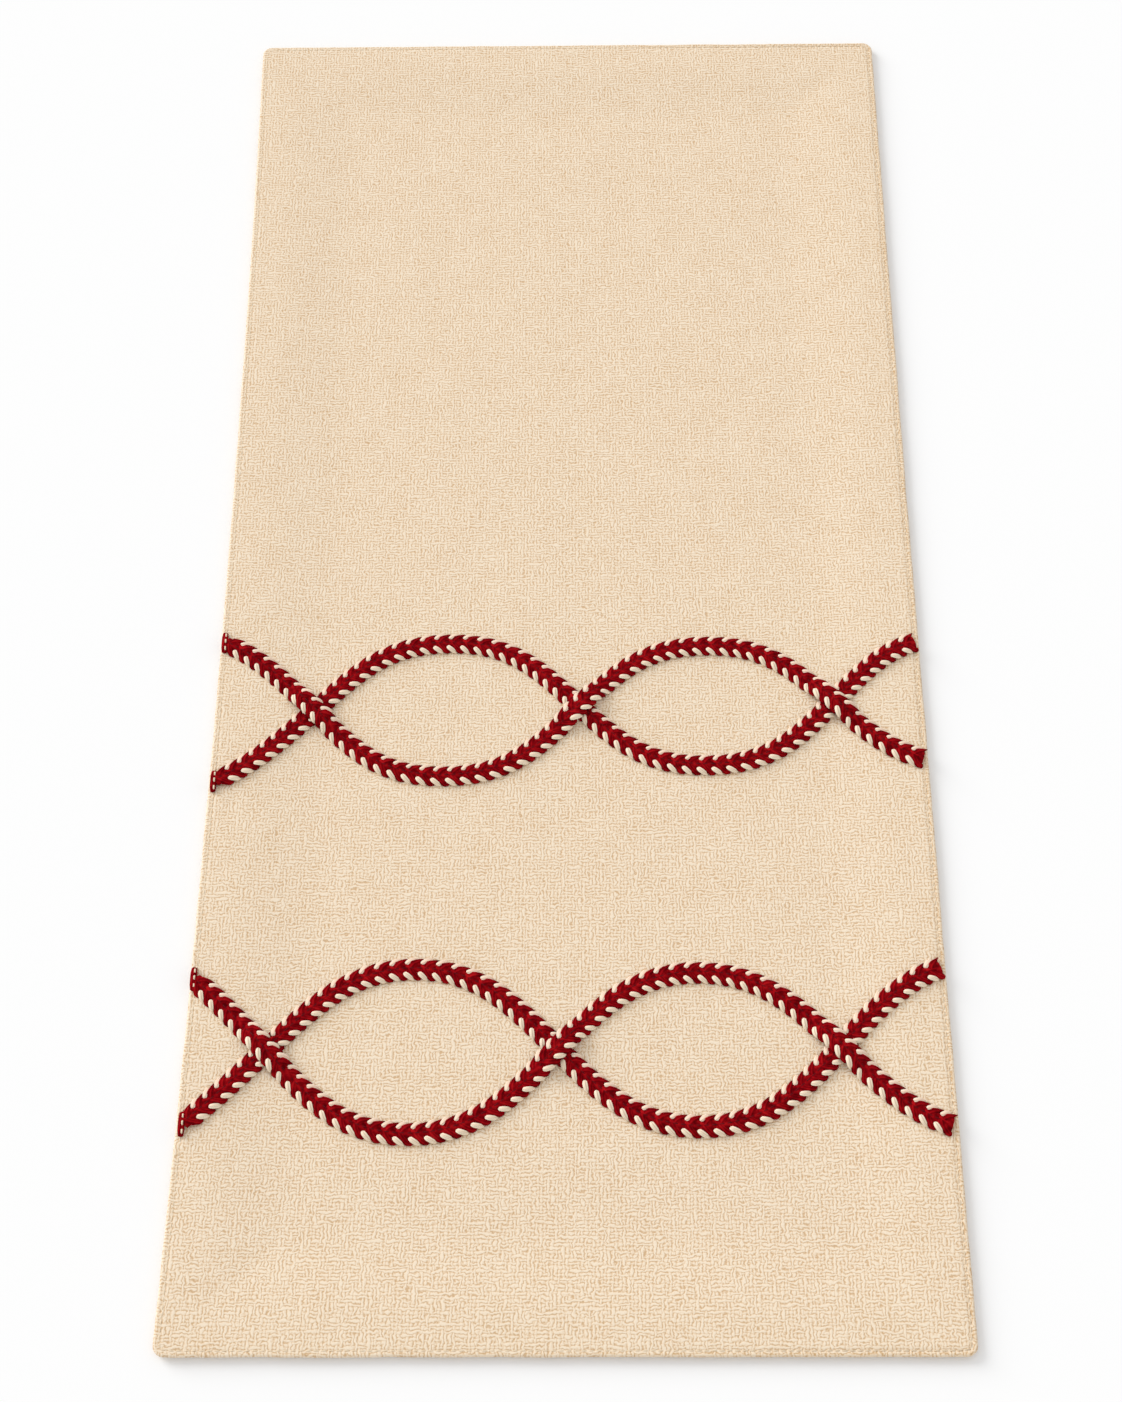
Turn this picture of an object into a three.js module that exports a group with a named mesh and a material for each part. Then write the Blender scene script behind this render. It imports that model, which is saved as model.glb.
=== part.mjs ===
// A lined table runner: a crepe-weave face cloth and a plain lining, bagged out and edge-stitched,
// with two bands of sewn-on two-colour braid near one end. Each band is two braids that cross
// three times. Units are millimetres, +Z is up, and the origin is at the bottom centre.
import * as THREE from 'three';

// ---- The cloths ----
const runnerWidth = 356;
const runnerLength = 762;
const cornerRadius = 4;
const leftDrawIn = 4.4;              // how far the left edge bows inwards at its middle
const rightDrawIn = 0.9;
const seamAllowance = 14;            // width of the cloth turned in all round
const hemSlope = 26;                 // run over which the face cloth comes down off the hem
const faceThickness = 1.0;
const faceAllowanceThickness = 0.8;  // the turned-in cloth is pressed thinner
const liningThickness = 0.5;
const foldGap = 0.2;                 // space inside each folded edge
const layerGap = 0.1;                // clearance between pieces that lie on each other
const liningSetback = 1.2;           // the face cloth rolls to the back by this much

// ---- The edge stitching ----
const stitchInset = 2.6;
const stitchGrooveWidth = 1.4;
const stitchGrooveDepth = 0.32;
const stitchThreadWidth = 0.5;
const stitchThreadHeight = 0.18;

// ---- The braids ----
const braidWidth = 11.7;
const plaitWidth = 10.4;             // the red strands stop short of the white loops
const plaitThickness = 2.6;
const plaitValleyDepth = 0.9;        // the dark groove along the middle of the plait
const whiteThickness = 0.8;
const strandGap = 0.15;              // clearance between the red and the white strands
const couchingWidth = 0.7;
const couchingHeight = 0.4;
const braidGap = 0.2;                // clearance between a braid and the cloth or braid below it
const leftEndInset = 0.6;            // the left ends reach the edge of the cloth
const rightEndInset = 2;             // the right ends stop just inside the edge
const crossingOverhang = 1.65;       // the raised part runs this far past the braid below
const crossingRamp = 9;              // length over which the over braid comes down again
const crestSteps = 10;               // steps along a braid from one crossing to the next
const endStep = 5;                   // length of each step near the ends, where the hem slopes

// overFromEnd, underFromEnd: how far each braid's centre line is from the near end; crest: height
// of a wave above its centre line; fullness: share of a third harmonic, which rounds the crests;
// spacing: distance between crossings; middleX: where the centre lines' waves begin; tilt: rise for
// each millimetre of x; leftReach, rightReach: size of the part waves at the ends against the rest.
const bands = {
  far: {
    overFromEnd: 317.9, underFromEnd: 321.6, crest: 35.6, fullness: 0.056, tilt: 0.014,
    spacing: 128.5, middleX: 5.6, leftReach: 1.38, rightReach: 0.95,
  },
  near: {
    overFromEnd: 138.9, underFromEnd: 141.6, crest: 38.7, fullness: 0.041, tilt: 0.005,
    spacing: 132.1, middleX: -4.3, leftReach: 1.7, rightReach: 1.04,
  },
};

// ---- Heights that follow from the sizes above ----
const liningFoldTop = 2 * liningThickness + foldGap;
const faceHemBottom = liningFoldTop + layerGap;
const facePanelHemBottom = faceHemBottom + faceAllowanceThickness + foldGap;
const faceHemTop = facePanelHemBottom + faceThickness;
const faceFieldBottom = liningThickness + layerGap;
const faceFieldTop = faceFieldBottom + faceThickness;
const redBottom = whiteThickness + strandGap;
const couchingBottom = redBottom + plaitThickness - plaitValleyDepth + layerGap;
const braidThickness = Math.max(redBottom + plaitThickness, couchingBottom + couchingHeight);
const crossingLift = braidThickness + braidGap;
const crossingFlat = braidWidth / 2 + crossingOverhang;

const colours = {
  cream: new THREE.Color(0.84, 0.68, 0.49),
  lining: new THREE.Color(0.86, 0.76, 0.62),
  thread: new THREE.Color(0.88, 0.78, 0.62),
  red: new THREE.Color(0.21, 0.005, 0.008),
  offWhite: new THREE.Color(0.86, 0.79, 0.68),
};

const runner = new THREE.Group();

function addPiece(name, geometry, colour) {
  geometry.computeVertexNormals();
  const material = new THREE.MeshStandardMaterial({ color: colour, roughness: 0.9, metalness: 0 });
  const mesh = new THREE.Mesh(geometry, material);
  mesh.name = name;
  runner.add(mesh);
}

// ---- The outline of the runner ----

function bow(fraction) {
  return 4 * fraction * (1 - fraction);
}

// Points round the outline, moved in by inset, anticlockwise from the near left corner.
// Every inset gives the same number of points, so two outlines can be joined point to point.
function outlinePoints(inset) {
  const radius = Math.max(cornerRadius - inset, 0.5);
  const right = runnerWidth / 2 - inset;
  const top = runnerLength / 2 - inset;
  const cornerSteps = 4;
  const longSteps = 8;
  const shortSteps = 3;
  const points = [];
  const addCorner = (centreX, centreY, startAngle) => {
    for (let i = 0; i <= cornerSteps; i += 1) {
      const angle = startAngle + (i / cornerSteps) * Math.PI / 2;
      const spoke = new THREE.Vector2(Math.cos(angle), Math.sin(angle)).multiplyScalar(radius);
      points.push(spoke.add(new THREE.Vector2(centreX, centreY)));
    }
  };
  const addSide = (steps, pointAt) => {
    for (let i = 1; i < steps; i += 1) points.push(pointAt(i / steps));
  };
  addCorner(radius - right, radius - top, Math.PI);
  addSide(shortSteps, (t) => new THREE.Vector2((2 * t - 1) * (right - radius), -top));
  addCorner(right - radius, radius - top, -Math.PI / 2);
  addSide(longSteps, (t) => new THREE.Vector2(right - rightDrawIn * bow(t), (2 * t - 1) * (top - radius)));
  addCorner(right - radius, top - radius, 0);
  addSide(shortSteps, (t) => new THREE.Vector2((1 - 2 * t) * (right - radius), top));
  addCorner(radius - right, top - radius, Math.PI / 2);
  addSide(longSteps, (t) => new THREE.Vector2(leftDrawIn * bow(t) - right, (1 - 2 * t) * (top - radius)));
  return points;
}

// ---- Cloths and threads that follow the outline ----

// A profile is a list of [inset, z] steps. closed joins the last step to the first, as a thread
// does; otherwise the first and last steps are filled across, as a cloth is.
function geometryRoundOutline(profile, closed) {
  const positions = [];
  const triangles = [];
  profile.forEach(([inset, z]) => {
    outlinePoints(inset).forEach((point) => positions.push(point.x, point.y, z));
  });
  const count = outlinePoints(0).length;
  const ringPairs = closed ? profile.length : profile.length - 1;
  for (let ring = 0; ring < ringPairs; ring += 1) {
    const here = ring * count;
    const next = ((ring + 1) % profile.length) * count;
    for (let i = 0; i < count; i += 1) {
      const j = (i + 1) % count;
      triangles.push(here + i, next + i, next + j, here + i, next + j, here + j);
    }
  }
  if (!closed) {
    const last = (profile.length - 1) * count;
    const topCentre = positions.length / 3;
    positions.push(0, 0, profile[0][1]);
    positions.push(0, 0, profile[profile.length - 1][1]);
    for (let i = 0; i < count; i += 1) {
      const j = (i + 1) % count;
      triangles.push(topCentre, i, j);
      triangles.push(topCentre + 1, last + j, last + i);
    }
  }
  const geometry = new THREE.BufferGeometry();
  geometry.setAttribute('position', new THREE.Float32BufferAttribute(positions, 3));
  geometry.setIndex(triangles);
  return geometry;
}

function hemBlend(inset) {
  return THREE.MathUtils.smoothstep(inset, seamAllowance, seamAllowance + hemSlope);
}

function faceTopAt(inset) {
  return THREE.MathUtils.lerp(faceHemTop, faceFieldTop, hemBlend(inset));
}

function faceUndersideAt(inset) {
  return THREE.MathUtils.lerp(facePanelHemBottom, faceFieldBottom, hemBlend(inset));
}

// The insets at which the slope off the hem is sampled, from the field outwards.
function slopeInsets() {
  const steps = 5;
  return Array.from({ length: steps + 1 }, (_, i) => seamAllowance + hemSlope * (1 - i / steps));
}

// Half a turn about (centreInset, centreZ), from above to below when direction is 1.
function foldSteps(centreInset, centreZ, radius, steps, direction) {
  return Array.from({ length: steps + 1 }, (_, i) => {
    const angle = direction * Math.PI * (0.5 - i / steps);
    return [centreInset - radius * Math.cos(angle), centreZ + radius * Math.sin(angle)];
  });
}

function stitchGroove(z, depth) {
  const half = stitchGrooveWidth / 2;
  return [
    [stitchInset + half, z],
    [stitchInset + half / 2, z + depth],
    [stitchInset - half / 2, z + depth],
    [stitchInset - half, z],
  ];
}

function makeFaceCloth() {
  const rimRadius = (faceHemTop - faceHemBottom) / 2;
  const foldCentre = facePanelHemBottom - foldGap / 2;
  const insideInset = faceThickness + foldGap;
  const profile = [
    ...slopeInsets().map((inset) => [inset, faceTopAt(inset)]),
    ...stitchGroove(faceHemTop, -stitchGrooveDepth),
    ...foldSteps(rimRadius, faceHemBottom + rimRadius, rimRadius, 6, 1),
    [seamAllowance, faceHemBottom],
    [seamAllowance, faceHemBottom + faceAllowanceThickness],
    ...foldSteps(insideInset, foldCentre, foldGap / 2, 2, -1),
    ...slopeInsets().reverse().map((inset) => [inset, faceUndersideAt(inset)]),
  ];
  addPiece('face_cloth', geometryRoundOutline(profile, false), colours.cream);
}

function makeLining() {
  const rimRadius = liningFoldTop / 2;
  const insideInset = liningSetback + liningThickness + foldGap;
  const profile = [
    [seamAllowance + hemSlope, liningThickness],
    ...foldSteps(insideInset, liningThickness + foldGap / 2, foldGap / 2, 2, -1),
    [seamAllowance, liningThickness + foldGap],
    [seamAllowance, liningFoldTop],
    ...foldSteps(liningSetback + rimRadius, rimRadius, rimRadius, 4, 1),
    ...stitchGroove(0, stitchGrooveDepth).reverse(),
    [seamAllowance, 0],
  ];
  addPiece('lining', geometryRoundOutline(profile, false), colours.lining);
}

function makeEdgeThread(name, bottom) {
  const half = stitchThreadWidth / 2;
  const top = bottom + stitchThreadHeight;
  const profile = [
    [stitchInset + half, bottom],
    [stitchInset + half, top],
    [stitchInset - half, top],
    [stitchInset - half, bottom],
  ];
  addPiece(name, geometryRoundOutline(profile, true), colours.thread);
}

// ---- Braids ----

// A wave of height 1 that crosses its centre line at every whole number of spacings.
function roundedSine(band, spacings) {
  const angle = Math.PI * spacings;
  return (Math.sin(angle) + band.fullness * Math.sin(3 * angle)) / (1 - band.fullness);
}

// Past the outer crossings the part wave at each end is made larger or smaller by its reach.
function waveHeight(band, x, isOver) {
  const spacings = (x - band.middleX) / band.spacing;
  const past = Math.abs(spacings) - 1;
  const reach = spacings < 0 ? band.leftReach : band.rightReach;
  const wave = past > 0
    ? -Math.sign(spacings) * reach * roundedSine(band, past / reach)
    : roundedSine(band, spacings);
  const centreY = (isOver ? band.overFromEnd : band.underFromEnd) - runnerLength / 2;
  const side = isOver ? 1 : -1;
  return centreY + band.tilt * (x - band.middleX) + side * band.crest * wave;
}

function distanceFromEdge(x, y) {
  const fromNearEnd = y + runnerLength / 2;
  const fraction = fromNearEnd / runnerLength;
  const left = x + runnerWidth / 2 - leftDrawIn * bow(fraction);
  const right = runnerWidth / 2 - rightDrawIn * bow(fraction) - x;
  return Math.min(left, right, fromNearEnd, runnerLength - fromNearEnd);
}

function crossingSlope(band) {
  const crestSlope = Math.PI * band.crest / band.spacing;
  return crestSlope * (1 + 3 * band.fullness) / (1 - band.fullness);
}

// Length along a braid for each millimetre of x, where the braids cross.
function crossingStretch(band) {
  return Math.hypot(1, crossingSlope(band));
}

// The two centre lines lie a little apart, which moves the middle crossing one way and the outer
// crossings the other.
function crossingXs(band) {
  const drift = (band.underFromEnd - band.overFromEnd) / 2 / crossingSlope(band);
  return [
    band.middleX - band.spacing - drift,
    band.middleX + drift,
    band.middleX + band.spacing - drift,
  ];
}

// The over braid climbs over the under braid at each of the three crossings.
function crossingRise(band, x) {
  const stretch = crossingStretch(band);
  const nearest = Math.min(...crossingXs(band).map((centre) => Math.abs(x - centre) * stretch));
  const comeDown = THREE.MathUtils.smoothstep(nearest, crossingFlat, crossingFlat + crossingRamp);
  return crossingLift * (1 - comeDown);
}

// The x of each station along a braid: closer together at the crossings and near the ends.
function stationXs(band) {
  const stretch = crossingStretch(band);
  const drawIn = leftDrawIn * bow(band.overFromEnd / runnerLength);
  const startX = drawIn + leftEndInset - runnerWidth / 2;
  const endX = runnerWidth / 2 - rightDrawIn - rightEndInset;
  const half = [crossingFlat, crossingFlat + crossingRamp / 2, crossingFlat + crossingRamp];
  const offsets = [...half.map((d) => -d).reverse(), 0, ...half].map((d) => d / stretch);
  const zones = crossingXs(band).map((centre) => offsets.map((offset) => centre + offset));
  const filled = (from, to, steps) => {
    return Array.from({ length: steps - 1 }, (_, i) => THREE.MathUtils.lerp(from, to, (i + 1) / steps));
  };
  const [first, middle, last] = zones;
  const startSteps = Math.ceil((first[0] - startX) / endStep);
  const endSteps = Math.ceil((endX - last[last.length - 1]) / endStep);
  return [
    startX,
    ...filled(startX, first[0], startSteps),
    ...first,
    ...filled(first[first.length - 1], middle[0], crestSteps),
    ...middle,
    ...filled(middle[middle.length - 1], last[0], crestSteps),
    ...last,
    ...filled(last[last.length - 1], endX, endSteps),
    endX,
  ];
}

// Sweeps a section of [across, up] points along a braid's wave. It lies on the face cloth, and
// its ends are cut in line with the sides of the runner.
function geometryAlongBraid(section, band, isOver) {
  const stations = stationXs(band).map((x) => new THREE.Vector2(x, waveHeight(band, x, isOver)));
  const steps = stations.length - 1;
  const flat = new THREE.Shape(section.map(([across, up]) => new THREE.Vector2(across, up)));
  const geometry = new THREE.ExtrudeGeometry(flat, { depth: 1, steps, bevelEnabled: false });
  const position = geometry.getAttribute('position');
  for (let i = 0; i < position.count; i += 1) {
    const step = Math.round(position.getZ(i) * steps);
    const before = stations[Math.max(step - 1, 0)];
    const after = stations[Math.min(step + 1, steps)];
    const along = after.clone().sub(before).normalize();
    const isEnd = step === 0 || step === steps;
    const sideways = isEnd ? new THREE.Vector2(0, 1 / along.x) : new THREE.Vector2(-along.y, along.x);
    const { x, y } = sideways.multiplyScalar(position.getX(i)).add(stations[step]);
    const rise = isOver ? crossingRise(band, stations[step].x) : 0;
    const clothTop = faceTopAt(distanceFromEdge(x, y));
    position.setXYZ(i, x, y, clothTop + braidGap + rise + position.getY(i));
  }
  return geometry;
}

function makeBraid(name, band, isOver) {
  const sweep = (section) => geometryAlongBraid(section, band, isOver);
  const whiteHalf = braidWidth / 2;
  const redHalf = plaitWidth / 2;
  const redFootHalf = redHalf * 0.9;
  const white = [
    [-whiteHalf, 0],
    [0, 0],
    [whiteHalf, 0],
    [whiteHalf - whiteThickness / 2, whiteThickness],
    [redFootHalf, whiteThickness],
    [0, whiteThickness],
    [-redFootHalf, whiteThickness],
    [whiteThickness / 2 - whiteHalf, whiteThickness],
  ];
  addPiece(`${name}_white_strands`, sweep(white), colours.offWhite);

  const valleyHalf = couchingWidth / 2 + layerGap;
  const red = [
    [-redFootHalf, redBottom],
    [0, redBottom],
    [redFootHalf, redBottom],
    [redHalf, redBottom + plaitThickness * 0.45],
    [redHalf * 0.55, redBottom + plaitThickness],
    [valleyHalf, redBottom + plaitThickness - plaitValleyDepth],
    [-valleyHalf, redBottom + plaitThickness - plaitValleyDepth],
    [-redHalf * 0.55, redBottom + plaitThickness],
    [-redHalf, redBottom + plaitThickness * 0.45],
  ];
  addPiece(`${name}_red_strands`, sweep(red), colours.red);

  const couchingHalf = couchingWidth / 2;
  const couching = [
    [-couchingHalf, couchingBottom],
    [couchingHalf, couchingBottom],
    [couchingHalf, couchingBottom + couchingHeight],
    [-couchingHalf, couchingBottom + couchingHeight],
  ];
  addPiece(`${name}_couching_thread`, sweep(couching), colours.red);
}

// ---- The runner ----

makeFaceCloth();
makeLining();
makeEdgeThread('edge_stitch_needle_thread', faceHemTop - stitchGrooveDepth + layerGap);
makeEdgeThread('edge_stitch_bobbin_thread', stitchGrooveDepth - layerGap - stitchThreadHeight);
Object.entries(bands).forEach(([bandName, band]) => {
  makeBraid(`${bandName}_over_braid`, band, true);
  makeBraid(`${bandName}_under_braid`, band, false);
});

export default runner;
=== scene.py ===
import math
import bpy
from mathutils import Matrix, Vector, noise


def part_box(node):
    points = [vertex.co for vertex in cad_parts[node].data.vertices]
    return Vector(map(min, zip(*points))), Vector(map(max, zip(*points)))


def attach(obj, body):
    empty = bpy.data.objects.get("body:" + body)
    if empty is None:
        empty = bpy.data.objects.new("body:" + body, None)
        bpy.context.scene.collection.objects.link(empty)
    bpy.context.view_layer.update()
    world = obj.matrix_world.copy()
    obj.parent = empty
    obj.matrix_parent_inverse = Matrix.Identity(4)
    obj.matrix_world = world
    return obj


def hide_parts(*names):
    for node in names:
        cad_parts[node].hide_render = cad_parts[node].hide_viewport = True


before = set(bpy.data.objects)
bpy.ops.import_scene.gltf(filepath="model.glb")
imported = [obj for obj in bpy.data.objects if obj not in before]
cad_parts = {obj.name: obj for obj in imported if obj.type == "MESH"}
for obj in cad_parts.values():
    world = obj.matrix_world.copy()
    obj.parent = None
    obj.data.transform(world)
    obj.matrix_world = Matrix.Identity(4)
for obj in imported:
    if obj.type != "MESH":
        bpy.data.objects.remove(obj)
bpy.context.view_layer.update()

# ---- The camera ----
# A long lens on a stand at the runner's braided end, looking steeply down along it. It is turned
# and tilted a degree and a half, as a hand-levelled camera is.
scene = bpy.context.scene
scene.view_settings.view_transform = "Standard"

camera_place = (0.01318, -0.63061, 1.0327)
camera_pitch = math.radians(60.93)
camera_turn = math.radians(1.546)
camera_tilt = math.radians(-1.591)
camera_data = bpy.data.cameras.new("camera")
camera_data.sensor_width = 36
camera_data.lens = 61.0
camera_data.clip_end = 50
camera = bpy.data.objects.new("camera", camera_data)
scene.collection.objects.link(camera)
camera.matrix_world = (
    Matrix.Translation(camera_place)
    @ Matrix.Rotation(camera_turn, 4, "Z")
    @ Matrix.Rotation(math.pi / 2 - camera_pitch, 4, "X")
    @ Matrix.Rotation(camera_tilt, 4, "Z")
)
scene.camera = camera

# ---- The table top and the light ----
# A plain white sweep under an even white sky, with one soft lamp from the far left that gives the
# short shadow along the right and near edges.
bpy.ops.mesh.primitive_plane_add(size=12, location=(0, 0, -0.0002))
table_top = bpy.context.object
table_top.name = "table_top"
white = bpy.data.materials.new("white_sweep")
white.use_nodes = True
white_shader = white.node_tree.nodes["Principled BSDF"]
white_shader.inputs["Base Color"].default_value = (0.93, 0.93, 0.93, 1)
white_shader.inputs["Roughness"].default_value = 1.0
white_shader.inputs["Specular IOR Level"].default_value = 0.0
table_top.data.materials.append(white)

sky = bpy.data.worlds.new("sky")
sky.use_nodes = True
sky.node_tree.nodes["Background"].inputs["Color"].default_value = (1, 1, 1, 1)
sky.node_tree.nodes["Background"].inputs["Strength"].default_value = 0.80
scene.world = sky

lamp_data = bpy.data.lights.new("soft_lamp", "SUN")
lamp_data.energy = 2.27
lamp_data.angle = math.radians(34)
lamp = bpy.data.objects.new("soft_lamp", lamp_data)
lamp_direction = Vector((0.60, -0.48, -0.30))
lamp.rotation_mode = "QUATERNION"
lamp.rotation_quaternion = lamp_direction.to_track_quat("-Z", "Y")
scene.collection.objects.link(lamp)

# ---- The face cloth ----
# A heavy cream cotton in a crepe weave, cut larger than the runner. Its edges are turned under by
# 14 mm all round, and inside that double edge it sinks down on to the lining.
face_low, face_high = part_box("face_cloth")
runner_half_width = face_high.x
runner_half_length = face_high.y
corner_radius = 0.0052
left_draw_in = 0.0044
right_draw_in = 0.0009
allowance = 0.014
hem_slope = 0.045
face_thickness = 0.001
rim_radius = 0.001
folded_ply = 0.0008
fold_inset = 0.0012
ply_gap = 0.0001
hem_top = face_high.z
hem_bottom = hem_top - 2 * rim_radius
field_top = face_low.z + face_thickness
stitch_inset = 0.0026
groove_width = 0.0007
groove_depth_left = 0.00012
groove_depth_gain = 0.00022
yarn_pitch = 0.00168
waver_long = 0.00022
waver_short = 0.00015
swell_long = 0.00016
swell_short = 0.00006
hem_ripple = 0.0001
pucker_height = 0.00022
press_reach = 0.0065
braid_sink = 0.0003
face_grid = 0.0029


def smooth(low, high, value):
    share = min(max((value - low) / (high - low), 0), 1)
    return share * share * (3 - 2 * share)


def soft_noise(x, y, size, seed):
    """Even noise from -1 to 1 with bumps about size across."""
    return noise.noise(Vector((x / size, y / size, seed)))


def place_on_outline(x, y):
    """Moves a point of the plain rectangle to the runner's own outline."""
    out_x = abs(x) - (runner_half_width - corner_radius)
    out_y = abs(y) - (runner_half_length - corner_radius)
    if out_x > 0 and out_y > 0:
        pull = max(out_x, out_y) / math.hypot(out_x, out_y)
        x = math.copysign(runner_half_width - corner_radius + out_x * pull, x)
        y = math.copysign(runner_half_length - corner_radius + out_y * pull, y)
    along = (y + runner_half_length) / (2 * runner_half_length)
    bow = 4 * along * (1 - along)
    from_left = (x + runner_half_width) / (2 * runner_half_width)
    x += bow * (left_draw_in * (1 - from_left) - right_draw_in * from_left)
    return x, y


def edge_distance(x, y):
    return min(runner_half_width - abs(x), runner_half_length - abs(y))


def edge_waver(x, y):
    """How far the pressed edge wanders in or out, fading away inside the hem."""
    fade = 1 - smooth(0.002, 0.012, edge_distance(x, y))
    long_waver = waver_long * soft_noise(x, y, 0.021, 3)
    return fade * (long_waver + waver_short * soft_noise(x, y, 0.0065, 9))


def place_with_waver(x, y):
    """A point of the plain rectangle, moved to the outline with the edge's wander."""
    waver = edge_waver(x, y)
    x_out, y_out = place_on_outline(x, y)
    return x_out + (waver if x > 0 else -waver), y_out + (waver if y > 0 else -waver)


# The two bands of braid press the cloth down and pucker it on both sides. Each band's wave is a
# sine with rounder crests, and the part waves past its outer crossings are larger or smaller.
bands = {
    "far": dict(
        over=-0.0631, under=-0.0594, crest=0.0356, fullness=0.056, tilt=0.014,
        spacing=0.1285, middle=0.0056, left_reach=1.38, right_reach=0.95,
    ),
    "near": dict(
        over=-0.2421, under=-0.2394, crest=0.0387, fullness=0.041, tilt=0.005,
        spacing=0.1321, middle=-0.0043, left_reach=1.7, right_reach=1.04,
    ),
}


def rounded_sine(band, spacings):
    angle = math.pi * spacings
    return (math.sin(angle) + band["fullness"] * math.sin(3 * angle)) / (1 - band["fullness"])


def wave_y(band, x, side):
    spacings = (x - band["middle"]) / band["spacing"]
    past = abs(spacings) - 1
    reach = band["left_reach"] if spacings < 0 else band["right_reach"]
    wave = rounded_sine(band, spacings)
    if past > 0:
        wave = -math.copysign(reach, spacings) * rounded_sine(band, past / reach)
    rise = band["crest"] * wave if side == "over" else -band["crest"] * wave
    return band[side] + band["tilt"] * (x - band["middle"]) + rise


def braid_distance(x, y):
    """Rough distance from the nearest braid's centre line."""
    nearest = 1.0
    for band in bands.values():
        for side in ("over", "under"):
            here = wave_y(band, x, side)
            slope = (wave_y(band, x + 0.001, side) - here) / 0.001
            nearest = min(nearest, abs(y - here) / math.hypot(1, slope))
    return nearest


def hem_height(x, y):
    """The smooth height of the hem: its rounded rim, its groove and the slope to the middle."""
    inset = edge_distance(x, y)
    height = hem_top + (field_top - hem_top) * smooth(allowance, allowance + hem_slope, inset)
    if inset < rim_radius:
        height -= rim_radius - math.sqrt(max(rim_radius ** 2 - (rim_radius - inset) ** 2, 0))
    groove_depth = groove_depth_left + groove_depth_gain * smooth(0, runner_half_width, x)
    return height - groove_depth * math.exp(-(((inset - stitch_inset) / groove_width) ** 2))


def unevenness(x, y):
    """How the cloth swells a little inside its edge, and ripples along its stitched hem."""
    inset = edge_distance(x, y)
    swell = swell_long * soft_noise(x, y, 0.045, 1) + swell_short * soft_noise(x, y, 0.014, 2)
    hem_pull = math.exp(-(((inset - 0.007) / 0.0045) ** 2))
    ripple = hem_ripple * hem_pull * soft_noise(x, y, 0.0065, 4)
    return smooth(0.0015, 0.012, inset) * swell + ripple


def braid_press(x, y):
    """How the cloth sinks under a braid and puckers beside it."""
    away = braid_distance(x, y)
    beside = smooth(0.004, press_reach, away) * (1 - smooth(0.009, 0.019, away))
    pucker = pucker_height * beside * soft_noise(x, y * 0.6, 0.006, 5)
    return pucker - braid_sink * (1 - smooth(0.0025, press_reach, away))


def face_height(x, y):
    """The height of the face cloth's upper side."""
    return hem_height(x, y) + unevenness(x, y) + braid_press(x, y)


def cloth_lines(half, hem_lines, spacing):
    """Grid lines from -half to half: close together in the hem, evenly spaced inside it."""
    inner = half - hem_lines[-1]
    count = round(2 * inner / spacing)
    middle = [-inner + 2 * inner * i / count for i in range(1, count)]
    low = [d - half for d in hem_lines]
    high = [half - d for d in reversed(hem_lines)]
    return low + middle + high


def grid_faces(across, along):
    """The faces of a grid whose points are numbered row by row."""
    corners = [j * across + i for j in range(along - 1) for i in range(across - 1)]
    return [(a, a + 1, a + 1 + across, a + across) for a in corners]


def grid_rim(across, along):
    """The numbers of the points round a grid's rim, in order."""
    rim = list(range(across))
    rim += [j * across + across - 1 for j in range(1, along)]
    rim += [(along - 1) * across + i for i in range(across - 2, -1, -1)]
    rim += [j * across for j in range(along - 2, 0, -1)]
    return rim


def fold_faces(points, flats, rim, rings, setback):
    """Adds the rings of a fold to points, and their places in the flat cloth to flats, and
    returns the faces between them. Each ring is (inset, height)."""
    side = abs(flats[rim[0]][0])
    faces = []
    last, run = rim, 0.0
    previous = (0.0, points[rim[0]][2])
    for inset, height in rings:
        run += math.hypot(inset - previous[0], height - previous[1])
        previous = (inset, height)
        narrower = (1 - (setback + inset) / runner_half_width) / (1 - setback / runner_half_width)
        shorter = (1 - (setback + inset) / runner_half_length) / (1 - setback / runner_half_length)
        ring = list(range(len(points), len(points) + len(rim)))
        for corner in rim:
            x, y = flats[corner]
            points.append((*place_with_waver(x * narrower, y * shorter), height))
            if abs(abs(x) - side) < 1e-6:
                flats.append((x + math.copysign(run, x), y))
            else:
                flats.append((x, y + math.copysign(run, y)))
        for k in range(len(rim)):
            following = (k + 1) % len(rim)
            faces.append((last[following], last[k], ring[k], ring[following]))
        last = ring
    return faces + [tuple(reversed(last))]


def folded_cloth(name, setback, hem_lines, spacing, height_at, rings, facing):
    """A closed sheet: a fine grid for the side that shows, then rings round the fold and the
    turned-in allowance, and a flat inner side."""
    xs = cloth_lines(runner_half_width - setback, hem_lines, spacing)
    ys = cloth_lines(runner_half_length - setback, hem_lines, spacing)
    flats = [(x, y) for y in ys for x in xs]
    points = [(*place_with_waver(x, y), height_at(x, y)) for x, y in flats]
    faces = grid_faces(len(xs), len(ys))
    faces += fold_faces(points, flats, grid_rim(len(xs), len(ys)), rings, setback)
    if facing < 0:
        faces = [tuple(reversed(face)) for face in faces]
    mesh = bpy.data.meshes.new(name)
    mesh.from_pydata(points, [], faces)
    layer = mesh.uv_layers.new(name="cloth")
    for loop in mesh.loops:
        layer.data[loop.index].uv = flats[loop.vertex_index]
    mesh.polygons.foreach_set("use_smooth", [True] * len(mesh.polygons))
    piece = bpy.data.objects.new(name, mesh)
    scene.collection.objects.link(piece)
    return piece


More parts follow.
